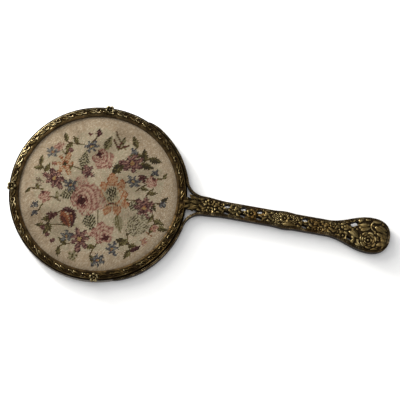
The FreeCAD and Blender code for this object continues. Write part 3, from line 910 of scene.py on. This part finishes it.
def closed_relief(x, y, top, base, keep, high):
    """A closed body: a top over the kept cells of a grid, upright sides and a flat base."""
    rows, cols = x.shape
    count = rows * cols
    faces = grid_faces(rows, cols)
    keep = keep.ravel()
    upper = faces[keep]
    lower = upper[:, ::-1] + count
    cells = np.pad(keep.reshape(rows - 1, cols - 1), 1)
    inner = cells[1:-1, 1:-1]
    sides = []
    for first, second, beside in ((0, 1, cells[1:-1, :-2]), (2, 3, cells[1:-1, 2:]),
                                  (3, 0, cells[:-2, 1:-1]), (1, 2, cells[2:, 1:-1])):
        open_side = (inner & ~beside).ravel()
        a, b = faces[open_side, first], faces[open_side, second]
        sides.append(np.stack([b, a, a + count, b + count], 1))
    faces = np.concatenate([upper, lower] + sides)
    points = np.concatenate([np.stack([x.ravel(), y.ravel(), top.ravel()], 1),
                             np.stack([x.ravel(), y.ravel(), np.broadcast_to(base, x.shape).ravel()], 1)])
    exposed = np.concatenate([high.ravel(), high.ravel() * 0.5])
    used, index = np.unique(faces, return_inverse=True)
    return points[used], index.reshape(faces.shape), exposed[used]


# ---- the rims --------------------------------------------------------------------------------
REPEATS = 38                            # leaf motifs round the band
BAND_MID = 66.3
PAINTED_HIGHLIGHT_SIDE = 140.0                     # the side of the band painted brightest: a painted highlight towards the key light
REPEAT_RUN = 2 * pi * BAND_MID / REPEATS
HOOK = ((9.6, 1.8), (7.4, 1.4), (5, 0.3), (3.2, -0.8), (1.8, -1.1))
TWIN = ((10.8, 1.3), (9.0, 0.7), (7, -0.2), (5.6, -0.7))


def band_motif(arc, out):
    """One repeat of the running leaf: an S hook off the outer bead, its twin, and a bright leaf."""
    relief = Relief(arc, out)
    for shift in (-REPEAT_RUN, 0.0, REPEAT_RUN):
        relief.ridge([(shift + a, b) for a, b in HOOK], 0.34, 0.85, 0.62, 1.15)
        relief.bead(shift + 1.2, -0.9, 0.85, 1.25)
        relief.ridge([(shift + a, b) for a, b in TWIN], 0.28, 0.6)
        relief.leaf(shift + 4.2, -1.3, 5.4, 8.0, 1.2, 0.44, 0.10)
        relief.leaf(shift + 4.6, 1.1, 3.2, 156.0, 0.9, 0.44)
        relief.bead(shift + 0.5, 1.0, 0.45, 0.7)
    return relief


def band_grid(inner, outer, radial, around):
    radii = np.linspace(inner, outer, radial)
    angles = np.arange(around * REPEATS) * 2 * pi / (around * REPEATS)
    arc, out = np.meshgrid(np.arange(around) * REPEAT_RUN / around, radii - BAND_MID, indexing="ij")
    relief = band_motif(arc, out)
    relief.h = np.tile(relief.h, (REPEATS, 1))
    return radii, angles, relief


def wheel(radii, angles, heights, closing, closing_high, exposed):
    """A band over the head's whole turn whose section is closed by a few plain corners."""
    steps = len(angles)
    r = np.concatenate([radii, [c[0] for c in closing]])
    z = np.concatenate([heights, np.tile([c[1] for c in closing], (steps, 1))], 1)
    high = np.concatenate([exposed, np.full((steps, len(closing)), closing_high)], 1)
    x, y = r * np.cos(angles)[:, None], r * np.sin(angles)[:, None]
    points = np.stack([x, y, z], 2).reshape(-1, 3)
    return points, grid_faces(steps, len(r), True, True), high.ravel()


def back_band(material):
    """The stamped band between the lip and the side wall."""
    outside, foot = HEAD_R - 0.02, RING_TOP + 0.30
    radii, angles, relief = band_grid(BEZEL_IN, outside, radial=44, around=54)
    rng = np.random.default_rng(5)
    field_in, field_out = BEZEL_IN + 0.7, HEAD_R - 2.0
    in_field = blend((radii - field_in) / 0.3) * blend((field_out - radii) / 0.3)
    crown = 0.45 * np.sin(pi * unit((radii - BEZEL_IN) / (HEAD_R - BEZEL_IN)))
    rolled = blend((radii - HEAD_R + 1.1) / 1.1)
    ground = RING_TOP + 0.62 + crown - rolled
    worn = 1.0 + 0.10 * soften(rng.normal(0.0, 3.0, relief.h.shape), 9, True)
    relief.h = relief.h * in_field * worn
    outer = bead_profile(radii, middle=HEAD_R - 1.55, half=0.42, height=0.70)
    inner = bead_profile(radii, middle=BEZEL_IN + 0.36, half=0.32, height=0.30)
    relief.lift(outer + inner)
    top = ground + relief.h * 0.98
    top[:, -1] = foot
    top = np.minimum(top, CREST_Z)
    proud = relief.h - soften(soften(relief.h, 3, True), 3, True)
    inward = blend((field_out - radii) / 3.0)
    # painted highlight: the band and its crests are painted brighter on the side towards the key light and
    # darker on the far side
    painted_highlight = 0.07 * np.cos(angles - radians(PAINTED_HIGHLIGHT_SIDE))[:, None]
    # painted shade: the rolled outer edge is painted darker through a lowered exposure
    high = unit(0.18 + 0.20 * inward + 1.30 * proud * (1.0 + 3.5 * painted_highlight) + painted_highlight
                   + 0.10 * (outer > 0.5) - 0.35 * rolled)
    closing = [(outside, RING_TOP), (BEZEL_IN, RING_TOP)]
    points, faces, high = wheel(radii, angles, top, closing, 0.1, high)
    piece = make_piece("stamped_back_band", points, faces[:, ::-1], material, high)
    install(piece, "antique_brass", "back_bezel")


def front_band(material):
    """The rim on the glass side: the same leaf sunk between two beads that it lies on."""
    inner, outer = BEZEL_IN - 1.3, HEAD_R - 0.12
    radii, angles, relief = band_grid(inner, outer, radial=44, around=42)
    rest_in, rest_out = BEZEL_IN + 0.7, HEAD_R - 1.5
    sunk = blend((radii - rest_in - 0.5) / 0.4) * blend((rest_out - 0.5 - radii) / 0.4)
    rolled = 0.9 * (1 - blend((radii - inner) / (rest_in - inner)))
    rolled = rolled + 0.85 * blend((radii - rest_out) / (outer - rest_out))
    face = rolled + sunk * (0.95 - 0.80 * np.minimum(relief.h, 1.1))
    high = unit(relief.exposure(4, True) * sunk + (1 - sunk) * 0.7)
    skirt, skirt_top, seat = HEAD_R - 1.3, 7.4, 1.3
    skirt_in = skirt - 1.1
    closing = [(outer, HOOP_LOW), (skirt, HOOP_LOW), (skirt, skirt_top), (skirt_in, skirt_top),
               (skirt_in, seat), (inner, seat)]
    points, faces, high = wheel(radii, angles, face, closing, 0.4, high)
    piece = make_piece("stamped_front_band", points, faces, material, high)
    install(piece, "front_brass", "front_bezel")


def lip_ring(material):
    """The smooth lip with two fine grooves, and its flange under the band."""
    low, flange = PANEL_EDGE_TOP, HEAD_R - 1.4
    profile = [(WINDOW_R, low), (WINDOW_R, low + 0.7), (WINDOW_R + 0.15, low + 1.02),
               (WINDOW_R + 0.42, low + 1.2), (WINDOW_R + 0.58, low + 1.08), (WINDOW_R + 0.74, low + 1.3),
               (WINDOW_R + 1.05, low + 1.5), (WINDOW_R + 1.22, low + 1.38), (WINDOW_R + 1.38, low + 1.55),
               (WINDOW_R + 1.7, low + 1.62), (BEZEL_IN, low + 1.4), (BEZEL_IN, RING_TOP - 0.01),
               (flange, RING_TOP - 0.01), (flange, low)]
    bright = np.array([0.1, 0.3, 0.5, 0.62, 0.15, 0.5, 0.66, 0.15, 0.5, 0.55, 0.2, 0.1, 0.1, 0.1])
    points, faces = turned(profile, 360)
    wander = np.random.default_rng(2).normal(0.0, 0.05, 360)
    high = np.tile(bright, (360, 1)) + wander[:, None]
    piece = make_piece("smooth_lip", points, faces[:, ::-1], material, high.ravel())
    install(piece, "rim_lip", "panel_retaining_ring")


ROSETTE_AT = 67.8                       # their middles, from the head's
PETAL_AT, PETAL_R, HOLLOW_AT = 2.35, 1.65, 1.75
HOLLOW_R, BOSS_R, CORE_R = 0.62, 0.95, 1.6


def rosette(node, material):
    """Five dished petals about a boss, with dark hollows between."""
    lowest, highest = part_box(node)
    middle = (lowest + highest) / 2 / MM
    outward = np.arctan2(middle.y - HEAD_Y, middle.x - HEAD_X)
    reach, pitch = 4.1, 0.1
    side = np.arange(-reach, reach + pitch / 10, pitch)
    u, v = np.meshgrid(side, side, indexing="ij")
    relief = Relief(u, v)
    foot = CREST_Z - 0.9
    full = highest.z / MM - foot
    petals = outward + pi / 5 + np.arange(5) * 2 * pi / 5
    for angle in petals:
        relief.bead(PETAL_AT * cos(angle), PETAL_AT * sin(angle), PETAL_R, full)
    for angle in petals:
        gap = relief.polar(HOLLOW_AT * cos(angle), HOLLOW_AT * sin(angle))[0]
        relief.h -= 0.72 * full * np.exp(-(gap / HOLLOW_R) ** 4)
    relief.h = np.maximum(relief.h, 0.0)
    relief.bead(0, 0, BOSS_R, full * 0.9)
    keep = np.logical_and.reduce(corners((np.hypot(u, v) < CORE_R) | (relief.h > 0.2)))
    x, y = u + ROSETTE_AT * cos(outward), v + ROSETTE_AT * sin(outward)
    points, faces, high = closed_relief(x, y, foot + relief.h, CREST_Z - 1.4, keep,
                                        unit(relief.exposure(6, full=full * 0.9) + 0.1))
    piece = make_piece(node + "_petals", points, faces, material, high)
    install(piece, "antique_brass", node)


# ---- the rails -------------------------------------------------------------------------------
def rail_line(side):
    """The outer edge of a rail in the head's plan, arm end to tip."""
    centre_v = side * (ROOT_HALF + BEND_R)
    head_u, head_v = on_handle(0.0, 0.0)
    reach = HEAD_R + RAIL_W + BEND_R
    centre = on_head(head_u + sqrt(reach ** 2 - (centre_v - head_v) ** 2), centre_v)
    swing = np.arctan2(centre[1], centre[0])
    arm = np.linspace(side * radians(ARM_END[side][0]), swing, 90, endpoint=False)
    edge = [((HEAD_R + RAIL_W) * np.cos(arm), (HEAD_R + RAIL_W) * np.sin(arm))]
    start = swing + pi
    sweep = (-side * pi / 2 + CANT - start + pi) % (2 * pi) - pi
    bend = start + sweep * np.linspace(0, 1, 30, endpoint=False)
    edge.append((centre[0] + BEND_R * np.cos(bend), centre[1] + BEND_R * np.sin(bend)))
    u = np.linspace(on_handle(*centre)[0], PADDLE_AT, 220)
    edge.append(on_head(u, side * half_width(u)))
    turn = np.linspace(0.02, pi / 2, 60)
    end_u = PADDLE_AT + (REACH - PADDLE_AT) * np.sin(turn) ** (2 / END_POWER)
    edge.append(on_head(end_u, side * PADDLE_HALF * np.cos(turn) ** (2 / END_POWER)))
    return np.concatenate([np.stack(run, 1) for run in edge])


ROPE_PITCH = 1.5                        # one turn of the roped beads
BEAD_RISE = 0.85
RAIL_STEP = 0.36


def rail_stations(side):
    """Even steps along a rail: how far each is, its place, and the way in from the outer edge."""
    line = rail_line(side)
    run = run_along(line)
    stations = np.append(np.arange(0.0, run[-1], RAIL_STEP), run[-1])
    line = np.stack([np.interp(stations, run, line[:, k]) for k in (0, 1)], 1)
    ahead = np.gradient(line, axis=0)
    ahead /= np.linalg.norm(ahead, axis=1)[:, None]
    return stations, line, np.stack([ahead[:, 1], -ahead[:, 0]], 1) * side


def beaded_rail(side, name, node, material):
    """A web with a roped double bead along both of its edges, thinning out along the arm."""
    stations, line, inward = rail_stations(side)
    taper = (0.12 + 0.88 * np.sqrt(unit(stations / ARM_END[side][1])))[:, None]
    slim = 0.6 + 0.4 * taper
    across = np.linspace(-1.0, 1.0, 13)
    rope = np.abs(np.sin(pi * (stations[:, None] / ROPE_PITCH + 0.35 * across)))
    bead = bead_profile(np.abs(across), 0.5, 0.5, 1.0) * (0.50 + 0.50 * rope ** 0.7)
    middle, half = (RAIL_Z[0] + RAIL_Z[1]) / 2, (RAIL_Z[1] - RAIL_Z[0]) / 2
    top = middle + (half - BEAD_RISE + BEAD_RISE * bead) * slim
    under = 2 * middle - top
    flank_z = middle + np.array([0.65, 0.25, -0.25, -0.65]) * half * slim
    flute = 0.06 * np.sin(2 * pi * stations / ROPE_PITCH)[:, None] * np.ones(4)
    level = np.tile(across, (len(stations), 1))
    n = np.concatenate([level, 0.94 + flute, level[:, ::-1], -0.94 - flute], 1)
    z = np.concatenate([top, flank_z, under[:, ::-1], flank_z[:, ::-1]], 1)
    # painted shade: the rail's flanks are held at a low exposure, so they come out darker
    shine, flank_painted_shade = 0.2 + 0.6 * bead, np.full(flute.shape, 0.12)
    exposed = np.concatenate([shine, flank_painted_shade, shine[:, ::-1], flank_painted_shade], 1)
    offset = RAIL_W - (1.0 - n) * RAIL_W / 2 * taper
    plan = line[:, None] + inward[:, None] * offset[..., None]
    sections = capped(np.concatenate([plan, z[..., None]], 2))
    exposed = np.concatenate([exposed[:1], exposed, exposed[-1:]])
    faces = grid_faces(*sections.shape[:2], False, True)
    piece = make_piece(name, sections.reshape(-1, 3), faces if side > 0 else faces[:, ::-1], material,
                       exposed.ravel())
    install(piece, "antique_brass", node)


# ---- the handle's ornament -------------------------------------------------------------------
def handle_ornament(u, v):
    """Flowers, leaves and buds crowded along the grip, and the paddle's rose."""
    relief = Relief(u, v)
    vine(relief, ROOT_AT - 4, PADDLE_AT - 16)
    root_ornament(relief)
    relief.blossom((PAIRS_AT[1] + PAIRS_AT[2]) / 2, 0, GRIP_HALF - RAIL_W, 5, 1.5, 10.0)
    bulge_ornament(relief)
    neck_ornament(relief)
    paddle_ornament(relief)
    fill_between(relief, 17)
    return relief


def vine(relief, start, end):
    """Leaves running outward in three rows, each leaf slanting the other way to the one before."""
    step = 4.0
    for k, at in enumerate(np.arange(start, end, step)):
        room = half_width(at) - RAIL_W
        slant = 30 if k % 2 else -30
        relief.leaf(at, 0.0, 6, slant, 1.5, 0.42)
        relief.leaf(at + 1, 0.65 * room, 5, -slant, 1.4, 0.5)
        relief.leaf(at - 1, -0.65 * room, 5, slant, 1.4, 0.5)


def side_flower(relief, at, side, turn):
    """A flower that fills one side of the handle from near its axis to the rail."""
    room = half_width(at) - RAIL_W
    r = 0.68 * room
    relief.blossom(at, side * (room - 0.5 * r), r, 5, 1.5, turn)


def root_ornament(relief):
    """A flower on each side by the arms, one short of the first openings and a bud between."""
    side_flower(relief, ROOT_AT + 6, 1, 20)
    side_flower(relief, ROOT_AT + 6, -1, 50)
    side_flower(relief, PAIRS_AT[0] - 5, 1, 0)
    relief.bead(ROOT_AT + 11, 2, 2, 1.4)


def bulge_ornament(relief):
    """A seven-petalled flower in an oval ring of buds, with a broad shell of a leaf under it."""
    relief.blossom(BULGE_AT, 1, 4.5, 7, 1.7, 12.0)
    for turn in range(0, 360, 45):
        angle = radians(turn)
        relief.blossom(BULGE_AT + 8 * cos(angle), 1 + 4 * sin(angle), 2, 5, 1.3, turn)
    relief.leaf(BULGE_AT - 1, -4, 11, 2, 1.8, 0.5)


def neck_ornament(relief):
    """Flowers on one side and the other in turn, and a zigzag of berries."""
    side_flower(relief, FLARE_START - 5, -1, 5)
    side_flower(relief, FLARE_START + 4, 1, 15)
    side_flower(relief, FLARE_START + 13, -1, 50)
    for k in range(5):
        relief.bead(FLARE_START + 12 + 2 * k, 2 + (k % 2), 1.5, 1.4)


def paddle_ornament(relief):
    """A rose to one side, a C scroll and a broad leaf to the other, and three buds at the tip."""
    leaf_reach = PADDLE_HALF - RAIL_W - 1
    for turn in range(-165, 166, 30):
        angle = radians(turn)
        lean = 70 if turn > 0 else -70
        out, over = leaf_reach * cos(angle), leaf_reach * sin(angle)
        relief.leaf(PADDLE_AT + out - 2, over, 8, turn - lean, 1.4, 0.5)
    relief.leaf(PADDLE_AT - 15, 1, 9, -40, 1.5, 0.7)
    relief.leaf(PADDLE_AT - 10, -5, 8, -50, 1.5, 0.5)
    relief.leaf(PADDLE_AT - 9, 6, 9, 12, 1.5, 0.5)
    relief.leaf(PADDLE_AT - 8, 2, 9, 24, 1.5, 0.5)
    relief.leaf(PADDLE_AT + 5, 2, 8, -20, 1.5, 0.5)
    relief.rose(PADDLE_AT - 1, -PADDLE_HALF / 3, PADDLE_HALF / 2, 2.0)
    bow = np.radians(np.arange(90, 271, 30))
    relief.ridge(np.stack([PADDLE_AT + 4 + 4 * np.cos(bow), PADDLE_HALF / 2 + 4 * np.sin(bow)], 1),
                 0.9, 1.5, 0.6, 1.1)
    relief.leaf(PADDLE_AT + 3, PADDLE_HALF / 2, 11, -25, 1.6, 0.5)
    for k in range(3):
        relief.bead(REACH - RAIL_W - 3, -3 * k, 2.5, 1.5)


def fill_between(relief, seed):
    """Small leaves and buds in the ground that the larger ornament leaves bare."""
    rng = np.random.default_rng(seed)
    tries, start, end = 1500, 9.0, REACH - RAIL_W - 1.0
    at = rng.uniform(start, end, tries)
    offset = rng.uniform(-1.0, 1.0, tries) * (half_width(at) - RAIL_W)
    angle = rng.uniform(-60.0, 60.0, tries)
    size = rng.uniform(1.0, 1.7, tries)
    for k in range(tries):
        near = relief.polar(at[k], offset[k])[0] < 0.55 * size[k]
        if near.any() and relief.h[near].max() < 0.25:
            relief.leaf(at[k] - 0.9 * size[k], offset[k], 2.3 * size[k], angle[k] * 0.3, 0.95, 0.9)


def slot_gap(u, v):
    """Distance to the nearest opening's edge, negative inside one."""
    gap = np.full(u.shape, 99.0)
    half_length, slot_half, turn = PAIR_SLOT
    pairs = [(at, side * PAIR_OFFSET, half_length, slot_half, side * turn)
             for at in PAIRS_AT for side in (1, -1)]
    for at, offset, length, half, turn in pairs + PADDLE_SLOTS:
        c, s = cos(radians(turn)), sin(radians(turn))
        along = (u - at) * c + (v - offset) * s
        across = (v - offset) * c - (u - at) * s
        gap = np.minimum(gap, np.hypot(np.maximum(np.abs(along) - (length - half), 0.0), across) - half)
    return gap


def handle_relief(side, name, material):
    """The raised ornament of one handle shell, standing on its pierced plate."""
    pitch, rise, start = 0.24, 0.85, 8.2
    u, across = np.meshgrid(np.arange(start, REACH - RAIL_W, pitch), np.linspace(-1, 1, 66), indexing="ij")
    limit = half_width(u) - RAIL_W + 0.1
    v = across * np.maximum(limit, 0.5)
    relief = handle_ornament(u, v)
    edge = np.minimum(limit - np.abs(v), REACH - RAIL_W - u)
    gap = slot_gap(u, v)
    relief.h = relief.h * blend((gap - 0.05) / 0.4) * (0.55 + 0.45 * blend(edge / 0.8))
    keep = np.logical_or.reduce(corners(relief.h > 0.06))
    keep &= (gap[:-1, :-1] > 0) & (gap[1:, 1:] > 0)
    face = PLATE_TOP if side > 0 else PLATE_LOW
    top = face + side * (relief.h * rise - 0.03)
    points, faces, high = closed_relief(*on_head(u, v), top, face - side * 0.4, keep,
                                        relief.exposure(3, full=1.35))
    piece = make_piece(name, points, faces if side > 0 else faces[:, ::-1], material, high)
    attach(piece, "root")


def root_acanthus(material):
    """The leafy casting between the arms, lapping onto the band."""
    lowest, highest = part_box("root_scroll")
    lap, end, half, pitch = 6.2, 12.0, 6.4, 0.16
    u, v = np.meshgrid(np.arange(-lap, end, pitch), np.arange(-half, half + 0.01, pitch), indexing="ij")
    relief = Relief(u, v)
    relief.leaf(10, 0.8, 9, 178, 2.0, 0.42)
    relief.leaf(10, -1.6, 10, 200, 1.9, 0.40, 0.1)
    relief.leaf(3, 0.6, 7, 184, 1.8, 0.5)
    relief.leaf(3, -2.6, 6, 200, 1.6, 0.5)
    relief.leaf(9, 3.4, 6, 160, 1.7, 0.45)
    relief.leaf(4, 4.4, 5, 130, 1.5, 0.6)
    relief.leaf(3, 2, 6, 62, 1.4, 0.5)
    relief.leaf(3, -2, 6, -62, 1.4, 0.5)
    relief.scroll(7, 3.4, 1.7, 180, 1.0, 1, 0.5, 1.6)
    relief.scroll(7, -3.4, 1.7, 180, 1.0, -1, 0.5, 1.6)
    relief.bead(0, 3, 1.2, 1.9)
    relief.bead(3, 3.6, 1.0, 1.8)
    keep = np.logical_and.reduce(corners(relief.h > 0.1))
    ground = highest.z / MM - 2.4
    leaves = closed_relief(*on_head(u, v), ground + relief.h, ground - 0.4, keep,
                           relief.exposure(4, full=2.2))
    block = root_block(lowest.z / MM, ground)
    points, faces, high = joined([leaves, block])
    piece = make_piece("root_acanthus", points, faces, material, high)
    install(piece, "antique_brass", "root_scroll")


def root_block(low, high):
    """The fluted block under the leaves, from the head's wall out to the shells."""
    start, end, half, waist = 0.1, 8.0, 4.6, 0.5
    u = np.linspace(start, end, 12)[:, None]
    turn = np.linspace(0, 2 * pi, 48, endpoint=False)
    across, height = (np.sign(w) * np.abs(w) ** 0.35 for w in (np.cos(turn), np.sin(turn)))
    flute = 1.0 + 0.03 * np.cos(turn * 12)
    v = (half - waist * np.sin(pi * (u - start) / (end - start))) * (across * flute)
    z = (low + high) / 2 + (high - low) / 2 * height * np.ones_like(u)
    sections = capped(np.stack([*on_head(u, v), z], 2))
    rings, steps = sections.shape[:2]
    return sections.reshape(-1, 3), grid_faces(rings, steps, False, True), np.full(rings * steps, 0.4)


# ---- carried-over solids ---------------------------------------------------------------------
def finish_nodes(made):
    finishes = {
        "hoop": "wall", "mirror_glass": "glass", "mirror_silvering": "silver", "mirror_cushion": "felt",
        "backing_board": "card", "mounting_board": "card", "rosette_pins": "pin", "arm_rivets": "pin",
        "handle_spacers": "pin", "handle_back_shell": "plate", "handle_front_shell": "plate",
    }
    for node, finish in finishes.items():
        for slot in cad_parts[node].material_slots:
            slot.material = made[finish]


# ---- setting ---------------------------------------------------------------------------------
def floor():
    mesh = bpy.data.meshes.new("pale_floor")
    far, below = 3.0, -0.0003
    mesh.from_pydata([(-far, -far, below), (far, -far, below), (far, far, below), (-far, far, below)],
                     [], [(0, 1, 2, 3)])
    n = Nodes("pale_floor")
    tone = n.mix(n.noise(3.0, 2.0), (0.90, 0.90, 0.895), (0.92, 0.92, 0.915))
    mesh.materials.append(n.finish(Base_Color=tone, Roughness=0.9))
    plane = bpy.data.objects.new("pale_floor", mesh)
    bpy.context.scene.collection.objects.link(plane)


def aimed(obj, place, target, right=None):
    """Put a camera or light at a place, looking at a target."""
    ahead = (Vector(target) - Vector(place)).normalized()
    right = Vector(right) if right else ahead.cross(UP)
    right = (right - ahead * right.dot(ahead)).normalized()
    up = right.cross(ahead)
    obj.matrix_world = Matrix.Translation(place) @ Matrix((right, up, -ahead)).transposed().to_4x4()
    bpy.context.scene.collection.objects.link(obj)


def area_light(name, place, size, power, colour=(1, 1, 1)):
    data = bpy.data.lights.new(name, "AREA")
    data.shape, data.size = "DISK", size
    data.energy, data.color = power, colour
    aimed(bpy.data.objects.new(name, data), place, (0.0, 0.0, 0.0))


def setting():
    floor()
    area_light("key", (-0.62, 0.50, 0.60), 0.85, 8.6, (1.0, 0.98, 0.94))
    area_light("low", (-0.50, 0.38, 0.22), 0.20, 5.0, (1.0, 0.98, 0.94))
    area_light("overhead", (-0.10, -0.05, 1.25), 1.1, 7.0)
    world = bpy.data.worlds.new("studio")
    world.use_nodes = True
    world.node_tree.nodes["Background"].inputs["Color"].default_value = (0.98, 0.985, 1.0, 1.0)
    world.node_tree.nodes["Background"].inputs["Strength"].default_value = 0.36
    bpy.context.scene.world = world
    bpy.context.scene.view_settings.view_transform = "Standard"


def camera():
    data = bpy.data.cameras.new("camera")
    data.sensor_width, data.lens = 36.0, 114.6
    tilt, distance = radians(13.3), 1.0
    toward = Vector((-0.03, -1.0, 0.0)).normalized()
    target = Vector((-0.0001, 0.0026, 0.0100))
    place = target + (toward * sin(tilt) + UP * cos(tilt)) * distance
    view = bpy.data.objects.new("camera", data)
    aimed(view, place, target, (cos(UPRIGHT), sin(UPRIGHT), 0.0))
    bpy.context.scene.camera = view


def main():
    camera()
    setting()
    made = materials()
    finish_nodes(made)
    panel = petit_point(made["stitches"])
    pad = wadding_pad(made["wadding"])
    back_band(made["rim"])
    front_band(made["front"])
    lip_ring(made["lip"])
    for node in ("rosette_far", "rosette_left", "rosette_right"):
        rosette(node, made["rosette"])
    beaded_rail(1, "beaded_rail_left", "rail_left", made["rail"])
    beaded_rail(-1, "beaded_rail_right", "rail_right", made["rail"])
    handle_relief(1, "handle_back_relief", made["relief"])
    handle_relief(-1, "handle_front_relief", made["relief"])
    root_acanthus(made["root"])


main()
